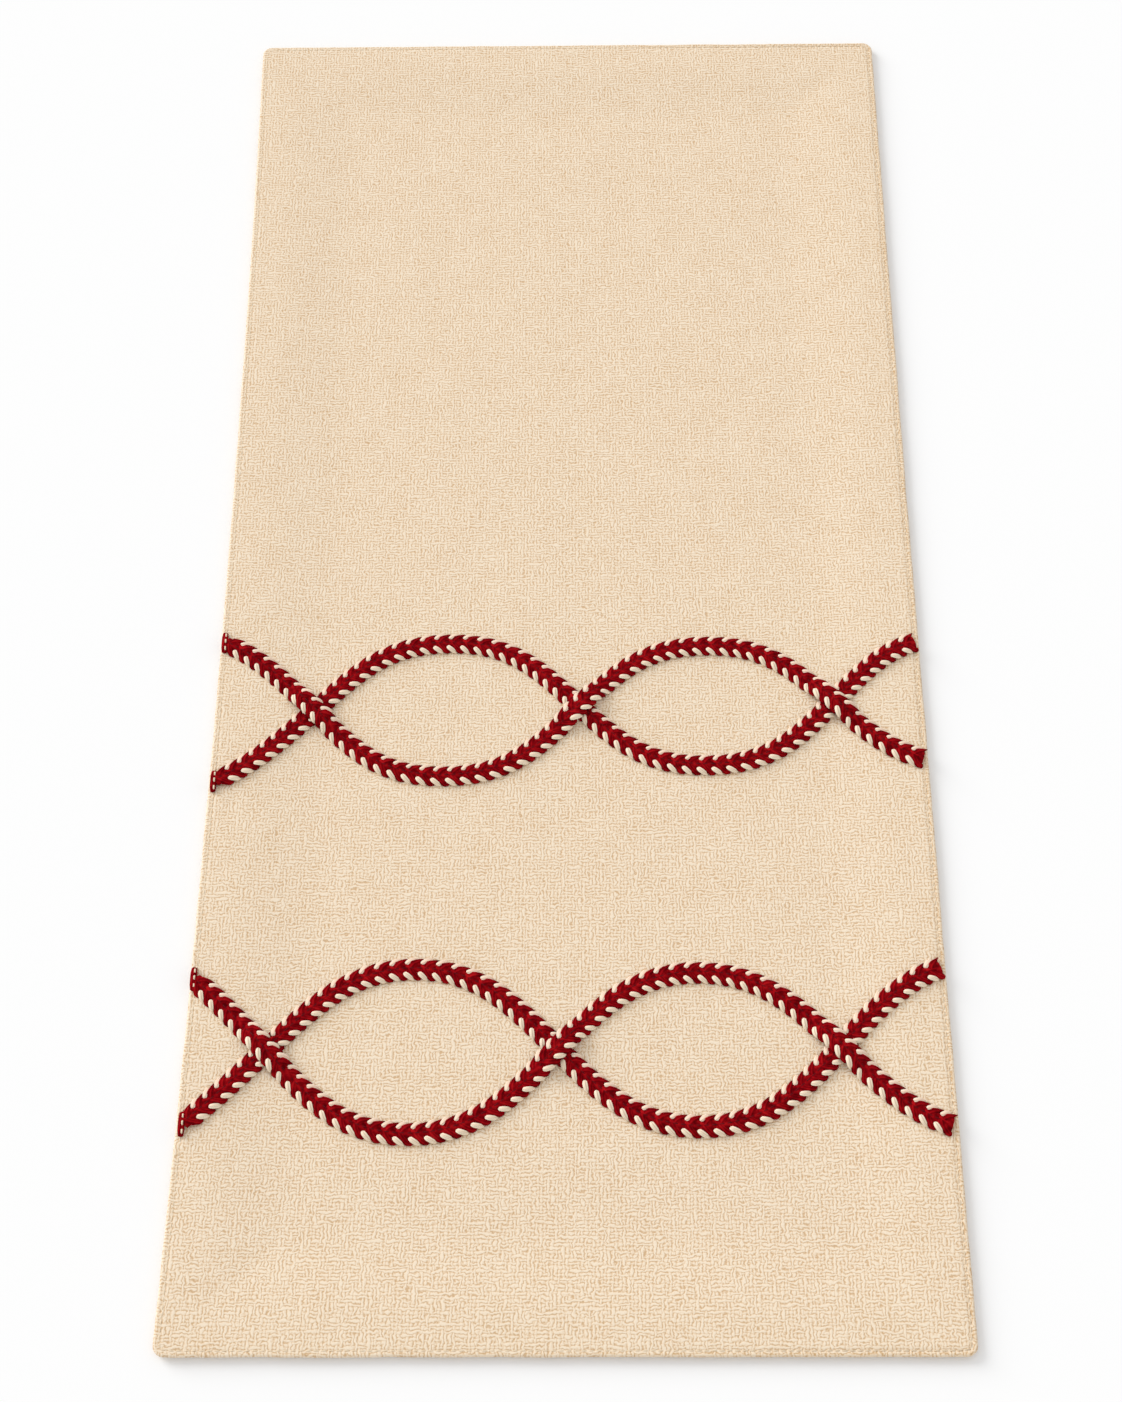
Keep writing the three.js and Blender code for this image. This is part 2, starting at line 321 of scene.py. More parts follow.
face_hem_lines = [0, 0.00012, 0.0003, 0.0006, 0.001, 0.0016, 0.0020, 0.0023, 0.0026, 0.0029, 0.0032]
face_hem_lines += [0.0037, 0.0046, 0.006, 0.008, 0.0105, 0.0125, 0.015, 0.0175, 0.0205]
face_hem_lines += [0.0235, 0.0265, 0.0295, 0.0325, 0.0355, 0.0385]
rim_centre = (hem_top + hem_bottom) / 2
face_rings = []
for degrees in (25, 50, 75, 90):
    angle = math.radians(degrees)
    inset = rim_radius - rim_radius * math.cos(angle)
    face_rings.append((inset, rim_centre - rim_radius * math.sin(angle)))
slope_middle = (hem_top + field_top) / 2 - face_thickness - ply_gap
face_rings += [
    (allowance, hem_bottom),
    (allowance, hem_bottom + folded_ply),
    (fold_inset, hem_bottom + folded_ply),
    (fold_inset, hem_top - face_thickness),
    (allowance, hem_top - face_thickness - ply_gap),
    (allowance + hem_slope * 0.5, slope_middle),
    (allowance + hem_slope, field_top - face_thickness),
]
face_cloth = folded_cloth(
    "crepe_face_cloth", 0.0, face_hem_lines, face_grid, face_height, face_rings, facing=1
)


def add_node(tree, kind, **values):
    """Adds a shader node; a value that is a socket is linked and any other is set."""
    node = tree.nodes.new(kind)
    for key, value in values.items():
        if not key.startswith("in_"):
            setattr(node, key, value)
            continue
        socket = node.inputs[int(key[3:])]
        if isinstance(value, bpy.types.NodeSocket):
            tree.links.new(value, socket)
        else:
            socket.default_value = value
    return node


def math_node(tree, operation, first, second=0.0, third=0.0):
    node = add_node(
        tree, "ShaderNodeMath", operation=operation, in_0=first, in_1=second, in_2=third
    )
    return node.outputs[0]


def new_fabric(name, roughness, sheen):
    material = bpy.data.materials.new(name)
    material.use_nodes = True
    shader = material.node_tree.nodes["Principled BSDF"]
    shader.inputs["Roughness"].default_value = roughness
    shader.inputs["Specular IOR Level"].default_value = 0.15
    shader.inputs["Sheen Weight"].default_value = sheen
    shader.inputs["Sheen Roughness"].default_value = 0.6
    return material, material.node_tree, shader


def colour_steps(tree, value, steps):
    """A colour ramp from (position, colour) steps."""
    ramp = tree.nodes.new("ShaderNodeValToRGB")
    elements = ramp.color_ramp.elements
    while len(elements) < len(steps):
        elements.new(0.5)
    for element, (position, colour) in zip(elements, steps):
        element.position = position
        element.color = (*colour, 1)
    tree.links.new(value, ramp.inputs[0])
    return ramp.outputs[0]


def bump_from(tree, shader, height, distance):
    bump = tree.nodes.new("ShaderNodeBump")
    bump.inputs["Strength"].default_value = 1.0
    bump.inputs["Distance"].default_value = distance
    tree.links.new(height, bump.inputs["Height"])
    tree.links.new(bump.outputs[0], shader.inputs["Normal"])


# The crepe weave: at each crossing of the yarns either the lengthwise or the crosswise one is on
# top. They are chosen at random, with a leaning to small groups and to a change at every step, so
# short floats lie both ways like a maze. Noise makes the yarns wander a little: yarn_wander is its
# whole swing, in yarns.
yarn_wander = 2.2
group_leaning = 0.3
change_leaning = 0.8
weave_depth = 0.62
crepe, crepe_tree, crepe_shader = new_fabric("cream_crepe_weave", 0.92, 0.08)
crepe_uv = add_node(crepe_tree, "ShaderNodeUVMap", uv_map="cloth").outputs[0]
crepe_drift = add_node(
    crepe_tree, "ShaderNodeTexNoise", in_0=crepe_uv, in_2=340.0, in_3=2.0, in_4=0.6
)
crepe_drift_centred = add_node(
    crepe_tree, "ShaderNodeVectorMath", operation="SUBTRACT",
    in_0=crepe_drift.outputs["Color"], in_1=(0.5, 0.5, 0.5)
).outputs[0]
crepe_drift_size = add_node(
    crepe_tree, "ShaderNodeVectorMath", operation="MULTIPLY",
    in_0=crepe_drift_centred, in_1=(yarn_wander, yarn_wander, 0)
).outputs[0]
crepe_yarns = add_node(
    crepe_tree, "ShaderNodeVectorMath", operation="MULTIPLY",
    in_0=crepe_uv, in_1=(1 / yarn_pitch, 1 / yarn_pitch, 0)
).outputs[0]
crepe_point = add_node(
    crepe_tree, "ShaderNodeVectorMath", operation="ADD", in_0=crepe_yarns, in_1=crepe_drift_size
).outputs[0]
crepe_axes = add_node(crepe_tree, "ShaderNodeSeparateXYZ", in_0=crepe_point)
warp_number = math_node(crepe_tree, "FLOOR", crepe_axes.outputs[0])
weft_number = math_node(crepe_tree, "FLOOR", crepe_axes.outputs[1])
across_warp = math_node(crepe_tree, "SUBTRACT", crepe_axes.outputs[0], warp_number)
across_weft = math_node(crepe_tree, "SUBTRACT", crepe_axes.outputs[1], weft_number)


def warp_on_top(column, row):
    """1 where the lengthwise yarn is on top, which is at half of the crossings, else 0."""
    crossing = add_node(crepe_tree, "ShaderNodeCombineXYZ", in_0=column, in_1=row).outputs[0]
    single = add_node(crepe_tree, "ShaderNodeTexWhiteNoise", noise_dimensions="2D", in_0=crossing)
    group_column = math_node(crepe_tree, "FLOOR", math_node(crepe_tree, "DIVIDE", column, 2.0))
    group_row = math_node(crepe_tree, "FLOOR", math_node(crepe_tree, "DIVIDE", row, 2.0))
    group_place = add_node(
        crepe_tree, "ShaderNodeCombineXYZ", in_0=group_column, in_1=group_row, in_2=7.0
    )
    group = add_node(
        crepe_tree, "ShaderNodeTexWhiteNoise", noise_dimensions="3D", in_0=group_place.outputs[0]
    )
    grouped = math_node(
        crepe_tree, "MULTIPLY_ADD", group.outputs[0], group_leaning, single.outputs[0]
    )
    step = math_node(crepe_tree, "MULTIPLY", math_node(crepe_tree, "ADD", column, row), 0.5)
    odd_step = math_node(crepe_tree, "FRACT", step)
    changing = math_node(crepe_tree, "MULTIPLY_ADD", odd_step, change_leaning, grouped)
    middle = 0.5 + group_leaning / 2 + change_leaning / 4
    return math_node(crepe_tree, "GREATER_THAN", changing, middle)


def next_crossing(number, across):
    """The crossing on the nearer side of this one."""
    side = math_node(crepe_tree, "SIGN", math_node(crepe_tree, "SUBTRACT", across, 0.5))
    return math_node(crepe_tree, "ADD", number, side)


def from_middle(across):
    """Distance from the yarn's middle, in yarns."""
    return math_node(crepe_tree, "ABSOLUTE", math_node(crepe_tree, "SUBTRACT", across, 0.5))


def blend_to_next(here, there, distance):
    """Passes smoothly from one crossing's value to the next one's."""
    share = add_node(
        crepe_tree, "ShaderNodeMapRange", interpolation_type="SMOOTHSTEP",
        in_0=distance, in_1=0.15, in_2=0.85
    ).outputs[0]
    change = math_node(crepe_tree, "SUBTRACT", there, here)
    return math_node(crepe_tree, "MULTIPLY_ADD", change, share, here)


def yarn_roundness(distance):
    """1 along the yarn's middle, falling away to its sides."""
    squared = math_node(crepe_tree, "MULTIPLY", distance, distance)
    return math_node(crepe_tree, "MULTIPLY_ADD", squared, -3.4, 1.0)


warp_distance = from_middle(across_warp)
weft_distance = from_middle(across_weft)
on_top_here = warp_on_top(warp_number, weft_number)
on_top_along = warp_on_top(warp_number, next_crossing(weft_number, across_weft))
on_top_across = warp_on_top(next_crossing(warp_number, across_warp), weft_number)
warp_rise = blend_to_next(on_top_here, on_top_along, weft_distance)
weft_sink = blend_to_next(on_top_here, on_top_across, warp_distance)
warp_height = math_node(
    crepe_tree, "MULTIPLY", yarn_roundness(warp_distance),
    math_node(crepe_tree, "MULTIPLY_ADD", warp_rise, weave_depth, 1 - weave_depth)
)
weft_height = math_node(
    crepe_tree, "MULTIPLY", yarn_roundness(weft_distance),
    math_node(crepe_tree, "MULTIPLY_ADD", weft_sink, -weave_depth, 1.0)
)
crepe_height = math_node(crepe_tree, "SMOOTH_MAX", warp_height, weft_height, 0.15)
crepe_fuzz = add_node(
    crepe_tree, "ShaderNodeTexNoise", in_0=crepe_uv, in_2=850.0, in_3=4.0, in_4=0.6
)
crepe_cover = math_node(crepe_tree, "MULTIPLY_ADD", crepe_fuzz.outputs[0], 0.62, crepe_height)
crepe_patches = add_node(crepe_tree, "ShaderNodeTexNoise", in_0=crepe_uv, in_2=60.0, in_3=2.0)
crepe_sum = math_node(crepe_tree, "MULTIPLY_ADD", crepe_patches.outputs[0], 0.18, crepe_cover)
crepe_depth = math_node(crepe_tree, "MULTIPLY_ADD", crepe_sum, 0.85, -0.35)
# The colour follows the weave's height: painted shade in the grooves between the yarns and painted
# highlight on their crowns, with random fuzz and patches of tone.
crepe_weave_colour_and_groove_shade = colour_steps(crepe_tree, crepe_depth, [
    (0.25, (0.62, 0.42, 0.24)),
    (0.50, (0.785, 0.608, 0.423)),
    (0.70, (0.852, 0.708, 0.538)),
    (1.0, (0.885, 0.768, 0.61)),
])

# Painted shade: the cloth's colour is a little darker in a narrow band just inside the edge, most
# on the right.
edge_shade_from = 0.0032
edge_shade_full = 0.0008
darkening_starts_at = -0.17
darkening_full_at = 0.1
crepe_flat = add_node(crepe_tree, "ShaderNodeSeparateXYZ", in_0=crepe_uv)
crepe_side = math_node(crepe_tree, "ABSOLUTE", crepe_flat.outputs[0])
crepe_end = math_node(crepe_tree, "ABSOLUTE", crepe_flat.outputs[1])
crepe_inset = math_node(
    crepe_tree, "MINIMUM",
    math_node(crepe_tree, "SUBTRACT", runner_half_width, crepe_side),
    math_node(crepe_tree, "SUBTRACT", runner_half_length, crepe_end)
)
crepe_edge_shade_band = add_node(
    crepe_tree, "ShaderNodeMapRange", interpolation_type="SMOOTHSTEP",
    in_0=crepe_inset, in_1=edge_shade_from, in_2=edge_shade_full
)
crepe_rightward = add_node(
    crepe_tree, "ShaderNodeMapRange",
    in_0=crepe_flat.outputs[0], in_1=darkening_starts_at, in_2=darkening_full_at
)
crepe_edge_shade_amount = math_node(
    crepe_tree, "MULTIPLY", crepe_edge_shade_band.outputs[0], crepe_rightward.outputs[0]
)
crepe_base_with_edge_shade = add_node(
    crepe_tree, "ShaderNodeVectorMath", operation="MULTIPLY_ADD",
    in_0=crepe_edge_shade_amount, in_1=(-0.03, -0.04, -0.047), in_2=crepe_weave_colour_and_groove_shade
)
crepe_tree.links.new(crepe_base_with_edge_shade.outputs[0], crepe_shader.inputs["Base Color"])
bump_from(crepe_tree, crepe_shader, crepe_height, 0.00015)
face_cloth.data.materials.append(crepe)
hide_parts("face_cloth")
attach(face_cloth, "root")

# ---- The lining ----
# A light plain-weave cotton, a little smaller than the face cloth, with its own edges turned in.
# It carries the runner on the table and shows only from underneath.
lining_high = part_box("lining")[1]
lining_setback = runner_half_width - lining_high.x
lining_thickness = 0.0005
lining_rim_radius = 0.0006
lining_ply_top = 0.0007
lining_groove_width = 0.0005
lining_groove_depth = 0.0002
lining_grid = 0.006
lining_yarn_pitch = 0.00055
lining_hem_lines = [0, 0.00015, 0.0004, 0.0007, 0.0011, 0.0014, 0.0017, 0.0024, 0.004, 0.007]
lining_hem_lines += [0.011, 0.014]


def lining_height(x, y):
    """The height of the lining's underside, which its stitching pulls up a little."""
    inset = edge_distance(x, y) - lining_setback
    height = 0.0
    if inset < lining_rim_radius:
        fall = math.sqrt(max(lining_rim_radius ** 2 - (lining_rim_radius - inset) ** 2, 0))
        height = lining_rim_radius - fall
    from_stitches = inset + lining_setback - stitch_inset
    return height + lining_groove_depth * math.exp(-((from_stitches / lining_groove_width) ** 2))


lining_rings = []
for degrees in (30, 60, 90):
    angle = math.radians(degrees)
    inset = lining_rim_radius - lining_rim_radius * math.cos(angle)
    lining_rings.append((inset, lining_rim_radius + lining_rim_radius * math.sin(angle)))
lining_rings += [
    (allowance - lining_setback, lining_high.z),
    (allowance - lining_setback, lining_ply_top),
    (lining_ply_top, lining_ply_top),
    (lining_ply_top, lining_thickness),
    (allowance, lining_thickness),
]
lining = folded_cloth(
    "plain_lining", lining_setback, lining_hem_lines, lining_grid, lining_height, lining_rings,
    facing=-1
)

plain, plain_tree, plain_shader = new_fabric("plain_weave_lining", 0.92, 0.05)
plain_uv = add_node(plain_tree, "ShaderNodeUVMap", uv_map="cloth").outputs[0]
plain_axes = add_node(plain_tree, "ShaderNodeSeparateXYZ", in_0=plain_uv)
plain_frequency = math.pi / lining_yarn_pitch
plain_across = math_node(plain_tree, "MULTIPLY", plain_axes.outputs[0], plain_frequency)
plain_along = math_node(plain_tree, "MULTIPLY", plain_axes.outputs[1], plain_frequency)
plain_warp = math_node(plain_tree, "SINE", plain_across)
plain_weft = math_node(plain_tree, "SINE", plain_along)
plain_height = math_node(plain_tree, "MULTIPLY", plain_warp, plain_weft)
plain_slubs = add_node(plain_tree, "ShaderNodeTexNoise", in_0=plain_uv, in_2=420.0, in_3=3.0)
# The colour follows the weave's height as painted shade between the yarn crossings, with uneven
# slubs as random tone.
plain_weave_shade_and_slubs = math_node(plain_tree, "MULTIPLY_ADD", plain_height, 0.18, plain_slubs.outputs[0])
plain_shaded_colour = colour_steps(plain_tree, plain_weave_shade_and_slubs, [
    (0.25, (0.72, 0.60, 0.45)),
    (0.75, (0.88, 0.78, 0.64)),
])
plain_tree.links.new(plain_shaded_colour, plain_shader.inputs["Base Color"])
bump_from(plain_tree, plain_shader, plain_height, 0.00008)
lining.data.materials.append(plain)
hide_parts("lining")
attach(lining, "root")

# ---- The braids ----
# Each band is two braids that cross three times. A braid is plaited from red and off-white yarns:
# red strands fan out from the middle on both sides, with a shorter off-white one between each two.
# A dark red thread along its middle sews it down on the cloth.
repeat = 0.007
slants = {"far": math.radians(48), "near": math.radians(44)}
braid_clearance = 0.0001
crossing_lift = 0.0031
lift_full_within = 0.0062
lift_ends_at = 0.0165
line_steps = 500


def crossing_rise(band, x):
    """How far the over braid is lifted by the under braid, near each of the three crossings."""
    slope = math.pi * band["crest"] / band["spacing"]
    slope *= (1 + 3 * band["fullness"]) / (1 - band["fullness"])
    drift = (band["under"] - band["over"]) / 2 / slope
    crossings = (-band["spacing"] - drift, drift, band["spacing"] - drift)
    nearest = min(abs(x - band["middle"] - crossing) for crossing in crossings)
    away = nearest * math.hypot(1, slope)
    return crossing_lift * (1 - smooth(lift_full_within, lift_ends_at, away))


def braid_line(band, side, start_x, end_x):
    """Points under the middle of a braid, from left to right."""
    points = []
    for i in range(line_steps + 1):
        x = start_x + (end_x - start_x) * i / line_steps
        y = wave_y(band, x, side)
        inset = runner_half_width - abs(x)
        base = hem_top + (field_top - hem_top) * smooth(allowance, allowance + hem_slope, inset)
        rise = crossing_rise(band, x) if side == "over" else 0.0
        points.append(Vector((x, y, base - braid_sink + braid_clearance + rise)))
    return points


def line_length(points):
    return sum((b - a).length for a, b in zip(points, points[1:]))


def select_only(*pieces):
    bpy.ops.object.select_all(action="DESELECT")
    for piece in pieces:
        piece.select_set(True)
    bpy.context.view_layer.objects.active = pieces[0]


def yarn_strand(name, stations, crease):
    """A plump strand along X, swept through stations of (x, y, z, half width, half thickness).
    crease presses a groove along its top, between its two plies. Its own coordinates are kept
    as an attribute, for the yarn's stripes."""
    x, y, z, half_width, half_thickness = stations[0]
    bpy.ops.object.select_all(action="DESELECT")
    bpy.ops.mesh.primitive_circle_add(
        vertices=8, radius=1, fill_type="NGON", location=(0, 0, 0), rotation=(0, math.pi / 2, 0)
    )
    strand = bpy.context.object
    strand.name = name
    bpy.ops.object.transform_apply(location=True, rotation=True, scale=True)
    bpy.ops.object.mode_set(mode="EDIT")
    bpy.ops.mesh.select_all(action="SELECT")
    bpy.ops.transform.resize(value=(1, half_width, half_thickness), center_override=(0, 0, 0))
    bpy.ops.transform.translate(value=(x, y, z))
    for following in stations[1:]:
        move = tuple(following[i] - (x, y, z)[i] for i in range(3))
        grow = (1, following[3] / half_width, following[4] / half_thickness)
        bpy.ops.mesh.extrude_region_move(TRANSFORM_OT_translate={"value": move})
        x, y, z, half_width, half_thickness = following
        bpy.ops.transform.resize(value=grow, center_override=(x, y, z))
    bpy.ops.mesh.select_all(action="SELECT")
    bpy.ops.mesh.normals_make_consistent(inside=False)
    bpy.ops.object.mode_set(mode="OBJECT")
    yarn = strand.data.attributes.new("yarn", "FLOAT_VECTOR", "POINT")
    for vertex in strand.data.vertices:
        nearest = min(stations, key=lambda s: abs(s[0] - vertex.co.x))
        across = (vertex.co.y - nearest[1]) / nearest[3]
        above = (vertex.co.z - nearest[2]) / nearest[4]
        yarn.data[vertex.index].vector = (vertex.co.x, across, above)
        if abs(across) < 0.1 and above > 0:
            vertex.co.z -= crease * nearest[4]
    strand.data.polygons.foreach_set("use_smooth", [True] * len(strand.data.polygons))
    return strand


def turn_and_move(strand, angle, offset):
    strand.rotation_euler = (0, 0, angle)
    strand.location = offset
    select_only(strand)
    bpy.ops.object.transform_apply(location=True, rotation=True, scale=True)
    return strand


def join(name, strands):
    select_only(*strands)
    bpy.ops.object.join()
    strands[0].name = name
    return strands[0]


def run_along(piece, points, count, spacing):
    """Repeats a piece count times, spacing apart, and bends the row along a line."""
    path_data = bpy.data.curves.new("path", "CURVE")
    path_data.dimensions = "3D"
    path_data.twist_mode = "Z_UP"
    path_data.use_deform_bounds = False
    path_data.use_stretch = False
    spline = path_data.splines.new("POLY")
    spline.points.add(len(points) - 1)
    for point, place in zip(spline.points, points):
        point.co = (*place, 1)
    path = bpy.data.objects.new("path", path_data)
    scene.collection.objects.link(path)
    select_only(piece)
    copies = piece.modifiers.new("copies", "ARRAY")
    copies.count = count
    copies.use_relative_offset = False
    copies.use_constant_offset = True
    copies.constant_offset_displace = (spacing, 0, 0)
    bend = piece.modifiers.new("bend", "CURVE")
    bend.object = path
    bend.deform_axis = "POS_X"
    bpy.ops.object.modifier_apply(modifier=copies.name)
    bpy.ops.object.modifier_apply(modifier=bend.name)
    bpy.data.objects.remove(path)
    return piece


# The red strands of the far side, towards the plain end, have slimmer tips than the near ones.
red_crease = 0.2
red_stations = {
    "far": [
        (-0.0006, -0.0005, 0.0014, 0.0004, 0.0003),
        (0.0003, -0.0003, 0.0018, 0.0014, 0.0007),
        (0.0016, 0.0001, 0.0020, 0.0020, 0.0008),
        (0.0032, 0.0003, 0.0020, 0.0019, 0.0009),
        (0.0050, 0.0000, 0.0017, 0.0013, 0.0008),
        (0.0066, -0.0004, 0.0014, 0.0007, 0.0006),
        (0.0079, -0.0009, 0.0010, 0.0002, 0.0002),
    ],
    "near": [
        (-0.0006, -0.0005, 0.0014, 0.0004, 0.0003),
        (0.0003, -0.0003, 0.0018, 0.0014, 0.0007),
        (0.0018, 0.0001, 0.0020, 0.0020, 0.0008),
        (0.0036, 0.0002, 0.0018, 0.0016, 0.0009),
        (0.0056, 0.0000, 0.0013, 0.0015, 0.0008),
        (0.0075, -0.0006, 0.0008, 0.0016, 0.0006),
        (0.0086, -0.0010, 0.0004, 0.0006, 0.0003),
    ],
}
white_crease = 0.35
white_stations = {
    "far": [
        (0.0027, 0.0002, 0.0017, 0.0004, 0.0004),
        (0.0033, 0.0002, 0.0020, 0.0010, 0.0007),
        (0.0045, 0.0000, 0.0019, 0.0013, 0.0008),
        (0.0059, -0.0002, 0.0016, 0.0014, 0.0008),
        (0.0072, -0.0005, 0.0011, 0.0012, 0.0007),
        (0.0081, -0.0009, 0.0007, 0.0009, 0.0006),
        (0.0086, -0.0011, 0.0004, 0.0003, 0.0002),
    ],
    "near": [
        (0.0030, 0.0003, 0.0019, 0.0004, 0.0004),
        (0.0036, 0.0002, 0.0022, 0.0010, 0.0007),
        (0.0048, 0.0001, 0.0022, 0.0013, 0.0008),
        (0.0061, -0.0001, 0.0019, 0.0013, 0.0009),
        (0.0074, -0.0004, 0.0014, 0.0012, 0.0008),
        (0.0083, -0.0008, 0.0009, 0.0009, 0.0006),
        (0.0088, -0.0010, 0.0005, 0.0003, 0.0003),
    ],
}

# A low roll fills the space under the strands, another is the turned-in left end, a tail closes the
# right end, and the last is one stitch of the thread.
core_stations = [
    (-0.0015, 0, 0.0011, 0.0024, 0.0010),
    (-0.0012, 0, 0.0012, 0.0034, 0.0013),
    (0.0056, 0, 0.0012, 0.0034, 0.0013),
    (0.0059, 0, 0.0011, 0.0024, 0.0010),
]
end_stations = [
    (-0.0058, 0, 0.0006, 0.0008, 0.0005),
    (-0.0054, 0, 0.0008, 0.0013, 0.0008),
    (-0.0030, 0, 0.0012, 0.0016, 0.0011),
    (0.0000, 0, 0.0014, 0.0016, 0.0013),
    (0.0030, 0, 0.0012, 0.0016, 0.0011),
    (0.0054, 0, 0.0008, 0.0013, 0.0008),
    (0.0058, 0, 0.0006, 0.0008, 0.0005),
]
tail_stations = [
    (0.0000, 0, 0.0014, 0.0022, 0.0010),
    (0.0030, 0, 0.0016, 0.0022, 0.0011),
    (0.0044, 0, 0.0013, 0.0017, 0.0010),
    (0.0054, 0, 0.0009, 0.0009, 0.0006),
    (0.0058, 0, 0.0006, 0.0003, 0.0003),
]
thread_stations = [
    (0.0002, 0, 0.0018, 0.0002, 0.0002),
    (0.0007, 0, 0.0023, 0.0003, 0.0003),
    (0.0027, 0, 0.0023, 0.0003, 0.0003),
    (0.0032, 0, 0.0018, 0.0002, 0.0002),
]
side_offset = 0.0014
middle_overlap = 0.0002
end_width = 0.0032
first_lobe = 0.0022
lobe_reach = 0.0062


def mirrored(stations, hand):
    return [(x, hand * y, z, w, t) for x, y, z, w, t in stations]


def braid_strands(name, stations, crease, start):
    """One strand of each side of the braid, slanting outwards and forwards from the middle."""
    strands = []
    for edge, hand in (("far", 1), ("near", -1)):
        strand = yarn_strand(name, mirrored(stations[edge], hand), crease)
        ahead = start + (side_offset / 2) * hand
        turn_and_move(strand, hand * slants[edge], (ahead, -hand * middle_overlap, 0))
        far_side = strand.data.attributes.new("far_side", "FLOAT", "POINT")
        far_side.data.foreach_set("value", [float(edge == "far")] * len(strand.data.vertices))
        strands.append(strand)
    return strands


# The yarns' plies show as slanting stripes, which also make the bump: painted highlight on their
# crowns and painted shade between them.
red, red_tree, red_shader = new_fabric("red_yarn", 0.95, 0.0)
red_shader.inputs["Specular IOR Level"].default_value = 0.03
red_place = add_node(red_tree, "ShaderNodeAttribute", attribute_name="yarn")
red_axes = add_node(red_tree, "ShaderNodeSeparateXYZ", in_0=red_place.outputs["Vector"])
red_along = math_node(red_tree, "MULTIPLY", red_axes.outputs[0], 700.0)
red_slant = math_node(red_tree, "MULTIPLY_ADD", red_axes.outputs[1], 7.0, red_along)
red_wave = math_node(red_tree, "SINE", red_slant)
red_object = add_node(red_tree, "ShaderNodeTexCoord").outputs["Object"]
red_patches = add_node(red_tree, "ShaderNodeTexNoise", in_0=red_object, in_2=330.0, in_3=3.0)
red_ply_shade_and_tone = math_node(red_tree, "MULTIPLY_ADD", red_wave, 0.12, red_patches.outputs[0])
red_shaded_colour = colour_steps(red_tree, red_ply_shade_and_tone, [
    (0.28, (0.115, 0.0004, 0.0022)),
    (0.50, (0.235, 0.0012, 0.0040)),
    (0.78, (0.39, 0.0060, 0.0085)),
])
red_tree.links.new(red_shaded_colour, red_shader.inputs["Base Color"])
bump_from(red_tree, red_shader, red_wave, 0.00012)

offwhite, offwhite_tree, offwhite_shader = new_fabric("off_white_yarn", 0.85, 0.05)
offwhite_place = add_node(offwhite_tree, "ShaderNodeAttribute", attribute_name="yarn")
offwhite_axes = add_node(
    offwhite_tree, "ShaderNodeSeparateXYZ", in_0=offwhite_place.outputs["Vector"]
)
offwhite_along = math_node(offwhite_tree, "MULTIPLY", offwhite_axes.outputs[0], 500.0)
offwhite_slant = math_node(
    offwhite_tree, "MULTIPLY_ADD", offwhite_axes.outputs[1], 6.0, offwhite_along
)
offwhite_wave = math_node(offwhite_tree, "SINE", offwhite_slant)
# Painted shade along the strand's middle crease, where its colour is darkest, and painted highlight
# and shade across its ply stripes.
offwhite_shade_by_crease = math_node(offwhite_tree, "ABSOLUTE", offwhite_axes.outputs[1])
offwhite_ply_and_crease_shade = math_node(offwhite_tree, "MULTIPLY_ADD", offwhite_wave, 0.08, offwhite_shade_by_crease)
offwhite_shaded_colour = colour_steps(offwhite_tree, offwhite_ply_and_crease_shade, [
    (0.0, (0.74, 0.57, 0.40)),
    (0.35, (0.905, 0.755, 0.575)),
    (0.8, (0.925, 0.785, 0.605)),
])

# The off-white yarn of the far side is painted a little darker and pinker: painted shade on that
# side of the braid.
offwhite_far = add_node(offwhite_tree, "ShaderNodeAttribute", attribute_name="far_side")
offwhite_with_far_shade = add_node(
    offwhite_tree, "ShaderNodeVectorMath", operation="MULTIPLY_ADD",
    in_0=offwhite_far.outputs["Fac"], in_1=(0.0, -0.05, -0.025), in_2=offwhite_shaded_colour
)
offwhite_tree.links.new(offwhite_with_far_shade.outputs[0], offwhite_shader.inputs["Base Color"])
bump_from(offwhite_tree, offwhite_shader, offwhite_wave, 0.00008)

dark_thread, dark_tree, dark_shader = new_fabric("dark_red_thread", 0.8, 0.0)
dark_object = add_node(dark_tree, "ShaderNodeTexCoord").outputs["Object"]
dark_patches = add_node(dark_tree, "ShaderNodeTexNoise", in_0=dark_object, in_2=900.0, in_3=2.0)
dark_colour = colour_steps(dark_tree, dark_patches.outputs[0], [
    (0.3, (0.06, 0.0006, 0.003)),
    (0.7, (0.13, 0.0015, 0.005)),
])
dark_tree.links.new(dark_colour, dark_shader.inputs["Base Color"])

